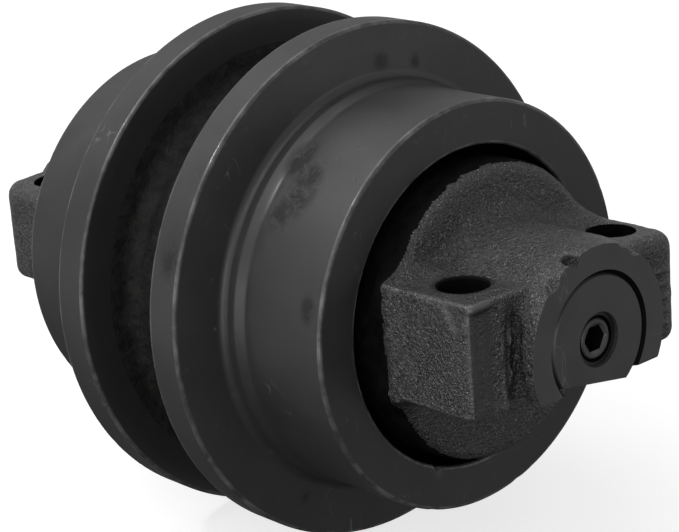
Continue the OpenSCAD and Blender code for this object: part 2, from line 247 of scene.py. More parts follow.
def painted_steel(name):
    """Black paint over turned steel: faint lathe marks, mottled sheen, dull scuffs, lighter rubbed edges
    that are also a painted highlight, and painted shade on the flanges' inner sides.
    """
    m, nt, bsdf = new_material(name, 0.45, (0.02, 0.02, 0.021), spec=0.5)
    v = coords(nt)
    mottle = noise_tex(nt, v, 26.0, 5.0, 0.6)
    blotch = noise_tex(nt, v, 55.0, 3.0, 0.5, 0.6)
    speck = noise_tex(nt, v, 420.0, 2.0, 0.5)
    col = ramp(nt, mottle, [(0.3, (0.0185, 0.0185, 0.0192)), (0.7, (0.027, 0.027, 0.0278))])
    dust = ramp(nt, speck, [(0.66, grey(0.0)), (0.74, grey(1.0))])
    dust_f = math_node(nt, "MULTIPLY", dust, 0.35)
    col = mix_colour(nt, dust_f, col, (0.05, 0.05, 0.052))
    col = mix_colour(nt, hairlines(nt, v), col, (0.13, 0.13, 0.135))
    # lighter edges: partly rubbed paint, partly a painted highlight along the edges
    edge = attribute(nt, "edge")
    patchy = noise_tex(nt, v, 160.0, 4.0, 0.65)
    edge_wear_and_highlight = math_node(nt, "MULTIPLY", edge, ramp(nt, patchy, [(0.40, grey(0.15)), (0.62, grey(1.0))]), True)
    col = mix_colour(nt, edge_wear_and_highlight, col, (0.09, 0.09, 0.094))
    streak = ramp(nt, noise_tex(nt, v, 300.0, 5.0, 0.7, 0.8), [(0.34, grey(0.25)), (0.50, grey(1.0))])
    mark = math_node(nt, "MULTIPLY", attribute(nt, "mark"), streak, True)
    mark = math_node(nt, "MULTIPLY", mark, 1.5, True)
    col = mix_colour(nt, mark, col, (0.005, 0.005, 0.005))
    # painted shade between the flanges: darker, duller paint on their inner sides
    shade = attribute(nt, "shade")
    col = mix_colour(nt, shade, col, (0.005, 0.005, 0.0051))
    nt.links.new(col, bsdf.inputs["Base Color"])
    r = ramp(nt, blotch, [(0.3, grey(0.36)), (0.7, grey(0.50))])
    r = mix_colour(nt, mark, r, grey(0.8))
    r = mix_colour(nt, shade, r, grey(0.75))
    r = mix_colour(nt, edge_wear_and_highlight, r, grey(0.22))
    nt.links.new(r, bsdf.inputs["Roughness"])
    peel = noise_tex(nt, v, 700.0, 2.0, 0.5)
    lathe = noise_tex(nt, coords(nt, (30.0, 1300.0, 30.0)), 1.0, 2.0, 0.6)
    pits = ramp(nt, noise_tex(nt, v, 300.0, 1.0, 0.4), [(0.18, grey(0.0)), (0.3, grey(1.0))])
    bump(nt, bsdf, [(peel, 0.10, 0.00012), (lathe, 0.05, 0.00010), (pits, 0.25, 0.0002)])
    return m


def cast_paint(name):
    """Black paint over a coarse sand casting: sharp grain, with painted glints on its peaks, painted shade
    in its pits, in creases and round the disc's rim, and lighter edges that are partly rubbed and partly a
    painted highlight.
    """
    m, nt, bsdf = new_material(name, 0.4, (0.02, 0.02, 0.021), spec=0.6)
    v = coords(nt)
    grain = noise_tex(nt, v, 2100.0, 2.0, 0.6)
    pebble = noise_tex(nt, v, 950.0, 2.0, 0.6)
    calm = math_node(nt, "SUBTRACT", 1.0, math_node(nt, "MULTIPLY", attribute(nt, "calm"), 0.8))
    mottle = noise_tex(nt, v, 70.0, 4.0, 0.6)
    col = ramp(nt, mottle, [(0.3, (0.017, 0.017, 0.018)), (0.7, (0.029, 0.029, 0.030))])
    # painted glints: the grain's peaks are lightened into bright specks
    grain_glints = math_node(nt, "MULTIPLY", ramp(nt, grain, [(0.60, grey(0.0)), (0.69, grey(1.0))]), calm)
    col = mix_colour(nt, math_node(nt, "MULTIPLY", grain_glints, 0.75), col, (0.27, 0.27, 0.275))
    # painted shade in the pits of the grain
    pits = math_node(nt, "MULTIPLY", ramp(nt, pebble, [(0.30, grey(1.0)), (0.44, grey(0.0))]), calm)
    col = mix_colour(nt, math_node(nt, "MULTIPLY", pits, 0.8), col, (0.004, 0.004, 0.004))
    # painted shade in creases and round the disc's rim
    cavity = attribute(nt, "cavity")
    col = mix_colour(nt, cavity, col, (0.005, 0.005, 0.0052))
    # lighter edges: partly rubbed paint, partly a painted highlight
    edge = attribute(nt, "edge")
    col = mix_colour(nt, math_node(nt, "MULTIPLY", edge, 0.6), col, (0.13, 0.13, 0.134))
    nt.links.new(col, bsdf.inputs["Base Color"])
    r = ramp(nt, mottle, [(0.3, grey(0.22)), (0.7, grey(0.34))])
    nt.links.new(r, bsdf.inputs["Roughness"])
    bump(nt, bsdf, [(pebble, calm, 0.00095), (grain, calm, 0.00042)])
    return m


def machined_paint(name):
    """Thin black paint over a milled or faced surface."""
    m, nt, bsdf = new_material(name, 0.42, (0.022, 0.022, 0.023), spec=0.5)
    v = coords(nt)
    mottle = noise_tex(nt, v, 90.0, 4.0, 0.6)
    col = ramp(nt, mottle, [(0.3, (0.037, 0.037, 0.038)), (0.7, (0.048, 0.048, 0.049))])
    chips = ramp(nt, noise_tex(nt, v, 520.0, 3.0, 0.6), [(0.70, grey(0.0)), (0.76, grey(1.0))])
    col = mix_colour(nt, math_node(nt, "MULTIPLY", chips, 0.5), col, (0.10, 0.10, 0.105))
    col = mix_colour(nt, hairlines(nt, v), col, (0.16, 0.16, 0.165))
    nt.links.new(col, bsdf.inputs["Base Color"])
    nt.links.new(ramp(nt, mottle, [(0.3, grey(0.36)), (0.7, grey(0.5))]), bsdf.inputs["Roughness"])
    fine = noise_tex(nt, v, 1500.0, 2.0, 0.5)
    bump(nt, bsdf, [(fine, 0.14, 0.00008), (mottle, 0.08, 0.0003)])
    return m


def dark_bore(name):
    """Almost black, painted shade for the insides of holes, the recess wall, the gap round the disc and the
    plug's socket.
    """
    m, nt, bsdf = new_material(name, 0.7, (0.004, 0.004, 0.004), spec=0.05)
    v = coords(nt)
    lump = noise_tex(nt, v, 240.0, 4.0, 0.65)
    nt.links.new(ramp(nt, lump, [(0.3, grey(0.0008)), (0.75, grey(0.004))]), bsdf.inputs["Base Color"])
    nt.links.new(ramp(nt, lump, [(0.3, grey(0.6)), (0.7, grey(0.85))]), bsdf.inputs["Roughness"])
    bump(nt, bsdf, [(lump, 0.3, 0.0003)])
    return m


def forged_paint(name):
    """As-forged scale under thin paint, in the groove between the flanges."""
    m, nt, bsdf = new_material(name, 0.5, (0.014, 0.014, 0.014), spec=0.25)
    v = coords(nt)
    lump = noise_tex(nt, v, 330.0, 5.0, 0.7, 0.4)
    grain = noise_tex(nt, v, 900.0, 3.0, 0.7)
    col = ramp(nt, lump, [(0.35, (0.004, 0.004, 0.004)), (0.68, (0.019, 0.018, 0.017))])
    nt.links.new(col, bsdf.inputs["Base Color"])
    nt.links.new(ramp(nt, grain, [(0.3, grey(0.55)), (0.7, grey(0.75))]), bsdf.inputs["Roughness"])
    bump(nt, bsdf, [(lump, 0.8, 0.0009), (grain, 0.6, 0.00025)])
    return m


def bare_steel(name, base=(0.42, 0.42, 0.43), rough=0.28, scale=(20.0, 2600.0, 20.0)):
    m, nt, bsdf = new_material(name, rough, base, metallic=1.0)
    fine = noise_tex(nt, coords(nt, scale), 1.0, 3.0, 0.6)
    v = coords(nt)
    stain = noise_tex(nt, v, 60.0, 4.0, 0.6)
    stained = tuple(c * 0.72 for c in base)
    col = mix_colour(nt, ramp(nt, stain, [(0.35, grey(0.0)), (0.75, grey(1.0))]), base, stained)
    nt.links.new(col, bsdf.inputs["Base Color"])
    sheen = ramp(nt, fine, [(0.3, grey(rough - 0.06)), (0.7, grey(rough + 0.12))])
    nt.links.new(sheen, bsdf.inputs["Roughness"])
    bump(nt, bsdf, [(fine, 0.12, 0.00005)])
    return m


def rubber(name):
    m, nt, bsdf = new_material(name, 0.6, (0.012, 0.012, 0.012), spec=0.4)
    v = coords(nt)
    fine = noise_tex(nt, v, 800.0, 3.0, 0.6)
    nt.links.new(ramp(nt, fine, [(0.3, grey(0.009)), (0.7, grey(0.018))]), bsdf.inputs["Base Color"])
    nt.links.new(ramp(nt, fine, [(0.3, grey(0.5)), (0.7, grey(0.72))]), bsdf.inputs["Roughness"])
    bump(nt, bsdf, [(fine, 0.2, 0.00006)])
    return m


M_SHELL = painted_steel("roller_black_paint")
M_FORGED = forged_paint("groove_forged_scale")
M_CAST = cast_paint("collar_cast_paint")
M_FACED = machined_paint("collar_faced_paint")
# near-black painted shade for holes, recesses and gaps
M_DARK = dark_bore("near_black_painted_shade")
M_PLUG = machined_paint("plug_black_paint")
M_BRONZE = bare_steel("bush_turned_bronze", (0.62, 0.42, 0.2), 0.34)
M_LAPPED = bare_steel("seal_lapped_iron", (0.5, 0.5, 0.51), 0.2)
M_PIN = bare_steel("pin_drawn_steel", (0.36, 0.36, 0.37), 0.35, (900.0, 900.0, 30.0))
M_RUBBER = rubber("seal_nitrile_rubber")


# ---------------------------------------------------------------- mesh helpers
def add_object(name, verts, faces, mats, mat_index=None, attrs=None, sharp_deg=None):
    me = bpy.data.meshes.new(name)
    me.from_pydata([tuple(v) for v in verts], [], [tuple(int(i) for i in f) for f in faces])
    for m in mats:
        me.materials.append(m)
    if mat_index is not None:
        me.polygons.foreach_set("material_index", np.asarray(mat_index, np.int32))
    for k, v in (attrs or {}).items():
        at = me.attributes.new(k, "FLOAT", "POINT")
        at.data.foreach_set("value", np.asarray(v, np.float32))
    me.shade_smooth()
    if sharp_deg is not None:
        me.set_sharp_from_angle(angle=math.radians(sharp_deg))
    me.validate()
    me.update()
    o = bpy.data.objects.new(name, me)
    bpy.context.scene.collection.objects.link(o)
    return o


def rounded_profile(pts, steps=6):
    """Corner points (r, a, radius) to a closed line with round corners, and 1 at sharp outer corners."""
    out, edge = [], []
    n = len(pts)
    for i, (r, a, rad) in enumerate(pts):
        p = np.array([r, a])
        q0 = np.array(pts[i - 1][:2])
        q1 = np.array(pts[(i + 1) % n][:2])
        d0, d1 = q0 - p, q1 - p
        l0, l1 = np.linalg.norm(d0), np.linalg.norm(d1)
        d0, d1 = d0 / l0, d1 / l1
        if rad <= 0:
            out.append(p)
            edge.append(0.0)
            continue
        cosv = float(np.clip(d0 @ d1, -1, 1))
        half = math.acos(cosv) / 2
        t = min(rad / math.tan(half), 0.49 * l0, 0.49 * l1)
        rad = t * math.tan(half)
        mid = (d0 + d1) / np.linalg.norm(d0 + d1)
        c = p + mid * rad / math.sin(half)
        s, e = p + d0 * t - c, p + d1 * t - c
        a0, a1 = math.atan2(s[1], s[0]), math.atan2(e[1], e[0])
        da = (a1 - a0 + math.pi) % (2 * math.pi) - math.pi
        cross = (p - q0)[0] * (q1 - p)[1] - (p - q0)[1] * (q1 - p)[0]
        k = max(3, int(steps * max(1.0, min(3.0, rad / 1.5))))
        for j in range(k + 1):
            ang = a0 + da * j / k
            out.append(c + rad * np.array([math.cos(ang), math.sin(ang)]))
            edge.append(1.0 if (cross > 0 and rad < 0.95) else 0.0)
    return np.array(out), np.array(edge)


def refine(points, edge, longest):
    """Splits the long straights of a closed profile so that they can carry relief."""
    out, oe = [], []
    n = len(points)
    for i in range(n):
        p, q = points[i], points[(i + 1) % n]
        step = longest(0.5 * (p + q))
        length = np.linalg.norm(q - p)
        k = max(1, int(math.ceil(length / step)))
        stops = [j / k for j in range(k)]
        if length > 1.2:
            # keeps the lighter edge colour of a corner, wear and painted highlight, off the straight beside
            # it
            stops = sorted(set(stops) | {0.3 / length, 1 - 0.3 / length})
        for t in stops:
            out.append(p + (q - p) * t)
            oe.append(edge[i] if t == 0 else 0.0)
    return np.array(out), np.array(oe)


def lathe(profile, seg):
    """Closed profile (r, a) turned about Y, front end at -Y. Returns vertices in mm, and quads."""
    n = len(profile)
    th = np.linspace(0, 2 * np.pi, seg, endpoint=False)
    r, a = profile[:, 0], profile[:, 1]
    x = np.outer(np.cos(th), r)
    z = np.outer(np.sin(th), r)
    y = -np.broadcast_to(a, (seg, n))
    v = np.stack([x, y, z], -1).reshape(-1, 3)
    i, j = np.meshgrid(np.arange(seg), np.arange(n), indexing="ij")
    i2, j2 = (i + 1) % seg, (j + 1) % n
    f = np.stack([i * n + j, i2 * n + j, i2 * n + j2, i * n + j2], -1).reshape(-1, 4)
    return v, f


# ---------------------------------------------------------------- roller shell
# Corner points of one half's section: radius from the axis, distance outward, corner radius
SHELL_PTS = [
    (WELD_ROOT_R, 0.0, 0.0),
    (HUB_R, WELD_HALF, 0.5),
    (HUB_R, FLANGE_IN_A, 5.0),
    (FLANGE_R, FLANGE_IN_A, RIM_ROUND),
    (FLANGE_R, FLANGE_OUT_A, RIM_ROUND),
    (TREAD_R + 1.7, FLANGE_OUT_A + 1.4, 6.5),
    (TREAD_R + 1.2, FLANGE_OUT_A + 5.6, 3.0),
    (TREAD_R, FLANGE_OUT_A + 8.8, 4.0),
    (TREAD_R, SHELL_A, RIM_ROUND),
    (RECESS_R, SHELL_A, 0.8),
    (RECESS_R, RECESS_A, 0.8),
    (POCKET_R, RECESS_A, 0.4),
    (POCKET_R, POCKET_A, 0.5),
    (THRUST_R + 0.5, POCKET_A, 0.3),
    (THRUST_R + 0.5, BUSH_SEAT_A, 0.0),
    (BUSH_BORE_R, BUSH_SEAT_A, 0.0),
    (BUSH_BORE_R, BUSH_IN_A, 0.3),
    (CAVITY_R, BUSH_IN_A, 0.5),
    (CAVITY_R, 0.0, 0.0),
]


def dent(v, centre, radius, depth, direction):
    """Pushes a small hollow into the surface around a point."""
    d = np.linalg.norm(v - np.array(centre), axis=1) / radius
    w = np.clip(1 - d, 0, 1) ** 1.5
    return v + np.outer(w * depth, np.array(direction) / np.linalg.norm(direction))


def forged_relief(v, r, a, radial):
    """As-forged lumps on the hub and the foot of the flange, faded out towards the turned rim."""
    groove = (a < FLANGE_IN_A + 0.01) & (r > HUB_R - 0.5)
    fade = np.clip((FLANGE_R - 2.0 - r) / 14.0, 0, 1) * np.clip((r - HUB_R + 0.6) / 0.5, 0, 1) * groove
    fade *= np.clip((a - 4.4) / 1.2, 0, 1)
    lump = 0.25 * noise3(v, 5.5) + 0.4 * noise3(v, 2.6, 5.0) + 0.35 * noise3(v, 1.5, 9.0)
    v = v + radial * (lump * fade * 0.55)[:, None]
    v[:, 1] += (noise3(v, 4.0, 3.0) * fade * 0.25)
    return v


def knocks(v, seed):
    """Small handling dents along the outer corners."""
    corners = [(FLANGE_R, FLANGE_OUT_A), (FLANGE_R, FLANGE_IN_A), (TREAD_R, SHELL_A), (RECESS_R, SHELL_A)]
    rng = np.random.default_rng(seed)
    for _ in range(KNOCKS):
        th = rng.uniform(0, 2 * math.pi)
        rr, aa = corners[rng.integers(0, 4)]
        inward = -1.0 if rr > RECESS_R else 1.0
        along = 0.7 if aa > FLANGE_IN_A else -0.7
        c = (rr * math.cos(th), -aa, rr * math.sin(th))
        width, depth = rng.uniform(1.2, 2.6), rng.uniform(0.08, 0.28)
        v = dent(v, c, width, depth, (inward * math.cos(th), along, inward * math.sin(th)))
    return v


def recess_nick(v):
    """One deeper nick low on the front recess's mouth."""
    th = math.radians(247)
    c = (RECESS_R * math.cos(th), -SHELL_A, RECESS_R * math.sin(th))
    return dent(v, c, 2.4, 1.5, (math.cos(th), 0.8, math.sin(th)))


# Dark smudges on the paint: angle in degrees, radius, distance outward, size
SMUDGES = [
    (136, TREAD_R, 46, 13), (144, TREAD_R, 42, 9), (127, TREAD_R, 39, 9), (166, TREAD_R, 62, 6),
    (159, FLANGE_R, 23, 10), (85, 66, FLANGE_OUT_A, 4), (73, 66, FLANGE_OUT_A, 3),
    (-123, 68, FLANGE_OUT_A, 3),
]


def smudge_mask(v):
    """How strongly each point is smudged, 0 to 1."""
    mark = np.zeros(len(v))
    for deg, rr, aa, size in SMUDGES:
        th = math.radians(deg)
        c = np.array([rr * math.cos(th), -aa, rr * math.sin(th)])
        d = np.linalg.norm((v - c) * np.array([1, 1.7, 1]), axis=1)
        patch = np.clip(0.8 + 0.5 * noise3(v, 4.5, 4.0), 0, 1)
        mark = np.maximum(mark, np.clip(1.5 * (1 - d / size), 0, 1) * patch)
    return mark


def shell_finish(prof, seg):
    """Material index of every quad: 0 paint, 1 forged scale in the groove, 2 near-black painted shade on
    the recess wall.
    """
    after = np.roll(prof, -1, axis=0)
    mid_r, mid_a = 0.5 * (prof[:, 0] + after[:, 0]), 0.5 * (prof[:, 1] + after[:, 1])
    forged = (mid_a < FLANGE_IN_A + 0.2) & (mid_r > HUB_R - 0.6) & (mid_r < HUB_R + 9.0)
    # painted shade: the recess wall takes the near-black material
    dark = (mid_r < RECESS_R + 0.1) & (mid_a > RECESS_A - 12) & (mid_a < SHELL_A - 1.2)
    return np.tile(forged * 1 + dark * 2, seg)


def straight_step(p):
    """Longest straight that a section keeps whole at point p, in millimetres."""
    if p[0] < RECESS_R - 1.5 or p[1] < 0.2:
        return 30.0
    if p[1] < FLANGE_IN_A and p[0] < HUB_R + 6:
        return 1.1
    return 2.0


def shell_half(name, front):
    prof, edge = rounded_profile(SHELL_PTS)
    prof, edge = refine(prof, edge, straight_step)
    seg = 400
    v, f = lathe(prof, seg)
    e = np.tile(edge, seg)
    r, a = np.tile(prof[:, 0], seg), np.tile(prof[:, 1], seg)
    radial = np.stack([v[:, 0], np.zeros(len(v)), v[:, 2]], -1) / r[:, None]
    v = forged_relief(v, r, a, radial)
    # the turned surfaces wander by a few hundredths
    wander = noise3(v * np.array([1, 0.35, 1]), 22.0, 2.0) * 0.03 * (r > RECESS_R + 1)
    v = v + radial * wander[:, None]
    v = knocks(v, 11 if front else 12)
    if front:
        v = recess_nick(v)
    mark = smudge_mask(v)
    # painted shade between the flanges: their inner sides are made darker, and duller
    inner_side = (a < FLANGE_IN_A + 0.3) & (r < FLANGE_R - 1.0)
    shade = 0.75 * inner_side * np.clip((FLANGE_R - r) / 5.0, 0, 1)
    if not front:
        v = v * np.array([-1, -1, 1])
    mats = [M_SHELL, M_FORGED, M_DARK]
    attrs = {"edge": e, "mark": mark, "shade": shade}
    o = add_object(name, v * MM, f[:, ::-1], mats, shell_finish(prof, seg), attrs, 38)
    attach(o, "roller")
    return o


def fix_normals(o):
    bm = bmesh.new()
    bm.from_mesh(o.data)
    bmesh.ops.recalc_face_normals(bm, faces=bm.faces)
    bm.to_mesh(o.data)
    bm.free()
    o.data.update()


for nm, front, cad in (("shell_front", True, "shell_half_front"), ("shell_rear", False, "shell_half_rear")):
    o = shell_half(nm, front)
    fix_normals(o)
    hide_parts(cad)


# ---------------------------------------------------------------- weld bead with overlapping ripples
def weld_bead():
    seg = 720
    crown_h = WELD_R - HUB_R
    steps = np.linspace(-WELD_HALF, WELD_HALF, 15)
    top = [(HUB_R + crown_h * (1 - (t / WELD_HALF) ** 2), t) for t in steps]
    side_r = HUB_R - 4.0
    prof = np.array([(WELD_ROOT_R + 0.02, 0.0), (side_r, -WELD_HALF / 2), *top, (side_r, WELD_HALF / 2)])
    v, f = lathe(prof, seg)
    r = np.hypot(v[:, 0], v[:, 2])
    th = np.arctan2(v[:, 2], v[:, 0])
    crown = np.clip((r - HUB_R + 0.2) / 0.6, 0, 1)
    across = 1 - (v[:, 1] / WELD_HALF) ** 2
    ripple = np.abs(np.sin(th * 95 + 1.1 * across + 0.6 * noise3(v, 9.0))) ** 0.6 - 0.75
    k = 1 + (ripple * 0.35 + noise3(v, 2.2) * 0.18 - 0.2) * crown / r
    v[:, 0] *= k
    v[:, 2] *= k
    o = add_object("weld_bead", v * MM, f, [M_FORGED], None, None, 60)
    fix_normals(o)
    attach(o, "roller")
    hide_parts("centre_weld")


weld_bead()


# ---------------------------------------------------------------- cast collar from a distance field
def smin(a, b, k):
    h = np.clip(0.5 + 0.5 * (b - a) / k, 0, 1)
    return b + (a - b) * h - k * h * (1 - h)


def smax(a, b, k):
    return -smin(-a, -b, k)


def rounded2(px, py, hx, hy, rad):
    qx, qy = np.abs(px) - hx + rad, np.abs(py) - hy + rad
    return np.hypot(np.maximum(qx, 0), np.maximum(qy, 0)) + np.minimum(np.maximum(qx, qy), 0) - rad


def capped(d2, dz, rad):
    qx, qz = d2 + rad, dz + rad
    return np.hypot(np.maximum(qx, 0), np.maximum(qz, 0)) + np.minimum(np.maximum(qx, qz), 0) - rad


def cast_mark(x, a, z):
    """A three-cornered patch at the top outer corner of one ear's end face."""
    low_side = 0.88 * (99.2 - a) + 0.47 * (17.7 - z)
    outer_side = 0.84 * (a - 103.0) - 0.55 * (z - 10.7)
    tri = np.maximum.reduce([low_side, outer_side, z - 19.0])
    return np.maximum(tri, np.abs(x + EAR_HALF) - 0.6)


def collar_field(x, a, z):
    """Signed distance to the casting, in mm, before machining. x across, a outward along the axis, z up."""
    r = np.hypot(x, z)
    inner_a, pocket_end = HUB_A, RECESS_A + 1.5 + 10.0
    # disc with a rounded rim and a low dome
    face = DISC_A + 1.6 * np.clip(1 - (r / 41.0) ** 2, 0, 1)
    mid = (face + pocket_end) / 2
    disc = rounded2(r, a - mid, DISC_R, (face - pocket_end) / 2, 3.6)
    hub = rounded2(r, a - (inner_a + DISC_A) / 2, 27.0, (DISC_A - inner_a) / 2, 0.6)
    wall_mid = (RECESS_A + 1.5 + DISC_A - 3.0) / 2
    wall_half = (DISC_A - 3.0 - RECESS_A - 1.5) / 2
    wall = rounded2(r - (DISC_R + POCKET_R) / 2, a - wall_mid, (DISC_R - POCKET_R) / 2, wall_half, 0.6)
    # ears
    low, top = SEAT_Z - 1.0, EAR_TOP
    mid, half = (EAR_A + DISC_A - 6.0) / 2, (EAR_A - DISC_A + 6.0) / 2
    in_height = np.abs(z - (low + top) / 2) - (top - low) / 2
    sharp = capped(rounded2(x, a - mid, EAR_HALF, half, 2.6), in_height, 1.3)
    top_r = top - 0.9 * np.clip((x - 22.0) / 18.0, 0, 1)
    in_height = np.abs(z - (low + top_r) / 2) - (top_r - low) / 2
    blunt = capped(rounded2(x, a - mid, EAR_HALF - 0.5, half, 8.0), in_height, 4.0)
    ears = np.where(x < 0, sharp, blunt)
    ax = np.abs(x)
    ridge = np.hypot(ax - 32.0, a - EAR_A + 0.9) - 1.8
    ridge = np.maximum(ridge, np.abs(z - 1.0) - 16.5)
    ears = smin(ears, np.where(x < 0, ridge, 9.0), 1.6)
    hollow_r = 13.5
    hollow = np.hypot(x + 38.6, a - EAR_A - hollow_r + 1.2) - hollow_r
    hollow = np.maximum(hollow, z - 17.5)
    ears = smax(ears, -hollow, 1.0)
    # five short raised bars, stacked down the other ear's outer face
    for i in range(5):
        zc = 9.6 - 3.9 * i
        bar = capped(rounded2(x - 33.4 + 0.25 * i, z - zc, 3.3, 0.75, 0.6), np.abs(a - EAR_A) - 0.75, 0.4)
        ears = smin(ears, bar, 0.5)
    # boss and saddle
    draft = np.clip((a - (EAR_A - 1.0)) / (BOSS_A - EAR_A + 1.0), 0, 1)
    boss = np.maximum(r - (27.6 - 1.0 * draft), a - (BOSS_A + 1.5))
    boss = np.maximum(boss, SEAT_Z - 1.0 - z)
    outer = smin(ears, boss, 3.2)
    slot = np.hypot(x + 26.3, a - EAR_A - 0.3) - (2.0 + 0.7 * np.clip(-z / 12, -1, 1))
    slot = np.maximum(slot, z - 14.0)
    outer = smax(outer, -slot, 0.8)
    groove = np.maximum(np.hypot(x + 29.6, a - EAR_A - 0.1) - 1.0, z - 11.0)
    outer = smax(outer, -groove, 0.5)
    outer = np.maximum(outer, DISC_A - 4.0 - a)
    body = smin(outer, disc, 7.0)
    # the boss's rim dips where the ears' top faces run out
    for ang, rad, far in ((-40.0, 3.3, 28.0), (24.0, 2.6, 28.2), (35.0, 3.6, 28.4)):
        t = math.radians(ang)
        across, up = x - far * math.sin(t), z - far * math.cos(t)
        dip = np.sqrt(across ** 2 + (a - BOSS_A - 0.6) ** 2 + up ** 2) - rad
        body = smax(body, -dip, 0.8)
    # a shallow three-cornered cast mark at the top of one ear's end face
    body = smax(body, -cast_mark(x, a, z), 0.25)
    ang = math.radians(20)
    across, up = x + 25.6 * math.sin(ang), z - 25.6 * math.cos(ang)
    dimple = np.sqrt(across ** 2 + (a - BOSS_A + 1.7) ** 2 + up ** 2) - 2.3
    body = smax(body, -dimple, 0.5)
    body = smax(body, np.abs(x) - EAR_HALF - 0.4, 0.6)
    below = np.maximum(z - SEAT_Z, DISC_A + 3.2 - a)
    body = smax(body, -below, 0.3)
    return np.minimum(np.minimum(body, hub), wall)


def casting_relief(p):
    """Sand-cast relief: broad waviness, lumps and grain."""
    return 0.07 * noise3(p, 9.0, 1.0) + 0.07 * noise3(p, 3.0, 2.0) + 0.11 * noise3(p, 1.5, 6.0)


def surface_nets(field, origin, h):
    """Dual mesh of the zero level of a sampled field: one vertex per cell that the surface crosses."""
    inside = field < 0
    nx, ny, nz = field.shape
    cells = np.zeros((nx - 1, ny - 1, nz - 1), np.int32)
    for dx in (0, 1):
        for dy in (0, 1):
            for dz in (0, 1):
                cells += inside[dx:nx - 1 + dx, dy:ny - 1 + dy, dz:nz - 1 + dz]
    active = (cells > 0) & (cells < 8)
    idx = -np.ones(active.shape, np.int64)
    ci, cj, ck = np.nonzero(active)
    idx[ci, cj, ck] = np.arange(len(ci))
    acc = np.zeros((len(ci), 3))
    cnt = np.zeros(len(ci))
    for axis in range(3):
        others = [k for k in range(3) if k != axis]
        for d1 in (0, 1):
            for d2 in (0, 1):
                o0 = np.zeros(3, int)
                o0[others[0]], o0[others[1]] = d1, d2
                o1 = o0.copy()
                o1[axis] = 1
                f0 = field[ci + o0[0], cj + o0[1], ck + o0[2]]
                f1 = field[ci + o1[0], cj + o1[1], ck + o1[2]]
                cross = (f0 < 0) != (f1 < 0)
                t = np.where(cross, f0 / np.where(cross, f0 - f1, 1), 0)
                pt = np.tile(o0.astype(float), (len(ci), 1))
                pt[:, axis] = t
                acc += pt * cross[:, None]
                cnt += cross
    verts = np.stack([ci, cj, ck], -1) + acc / cnt[:, None]
    verts = verts * h + np.array(origin)
    faces = []
    for axis in range(3):
        sl0 = [slice(None)] * 3
        sl1 = [slice(None)] * 3
        sl0[axis], sl1[axis] = slice(0, -1), slice(1, None)
        a, b = inside[tuple(sl0)], inside[tuple(sl1)]
        change = a != b
        i, j, k = np.nonzero(change)
        u, w = [d for d in range(3) if d != axis]
        p = np.stack([i, j, k], -1)
        ok = (p[:, u] > 0) & (p[:, w] > 0) & (p[:, u] < idx.shape[u]) & (p[:, w] < idx.shape[w])
        p = p[ok]
        flip = a[p[:, 0], p[:, 1], p[:, 2]]
        quad = []
        for du, dw in ((0, 0), (1, 0), (1, 1), (0, 1)):
            q = p.copy()
            q[:, u] -= du
            q[:, w] -= dw
            quad.append(idx[q[:, 0], q[:, 1], q[:, 2]])
        quad = np.stack(quad, -1)
        if axis == 1:
            flip = ~flip
        quad = np.where(flip[:, None], quad, quad[:, ::-1])
        faces.append(quad)
    return verts, np.concatenate(faces)


def cutter(name, verts, faces):
    me = bpy.data.meshes.new(name)
    me.from_pydata(verts, [], faces)
    me.update()
    o = bpy.data.objects.new(name, me)
    bpy.context.scene.collection.objects.link(o)
    fix_normals(o)
    return o


def face_off(me, point, normal):
    """Machines the mesh flat: cuts away what lies beyond a plane and closes the cut."""
    bm = bmesh.new()
    bm.from_mesh(me)
    geom = bm.verts[:] + bm.edges[:] + bm.faces[:]
    cut = bmesh.ops.bisect_plane(bm, geom=geom, plane_co=point, plane_no=normal, clear_outer=True)
    rim = [e for e in cut["geom_cut"] if isinstance(e, bmesh.types.BMEdge) and e.is_boundary]
    bmesh.ops.triangle_fill(bm, edges=rim, use_beauty=True, normal=normal)
    bmesh.ops.recalc_face_normals(bm, faces=bm.faces)
    bm.to_mesh(me)
    bm.free()
    me.update()


def round_cutter(name, prof, axis, centre, seg=128):
    """A turned cutter: profile (r, distance along the axis), closed on the axis at both ends."""
    verts, faces = [], []
    rows = []
    for r, d in prof:
        row = []
        for i in range(seg):
            th = 2 * math.pi * i / seg
            u, w = r * math.cos(th), r * math.sin(th)
            p = (u, d, w) if axis == "y" else (u, w, d)
            verts.append(tuple((p[k] + centre[k]) * MM for k in range(3)))
            row.append(len(verts) - 1)
        rows.append(row)
    for a, b in zip(rows, rows[1:]):
        for i in range(seg):
            j = (i + 1) % seg
            faces.append((a[i], a[j], b[j], b[i]))
    faces.append(tuple(rows[0]))
    faces.append(tuple(rows[-1]))
    return cutter(name, verts, faces)


def subtract(target, tools):
    for t in tools:
        md = target.modifiers.new("cut", "BOOLEAN")
        md.operation = "DIFFERENCE"
        md.solver = "EXACT"
        md.object = t
        dg = bpy.context.evaluated_depsgraph_get()
        me = bpy.data.meshes.new_from_object(target.evaluated_get(dg))
        target.modifiers.clear()
        old = target.data
        target.data = me
        bpy.data.meshes.remove(old)
    for t in tools:
        me = t.data
        bpy.data.objects.remove(t)
        bpy.data.meshes.remove(me)


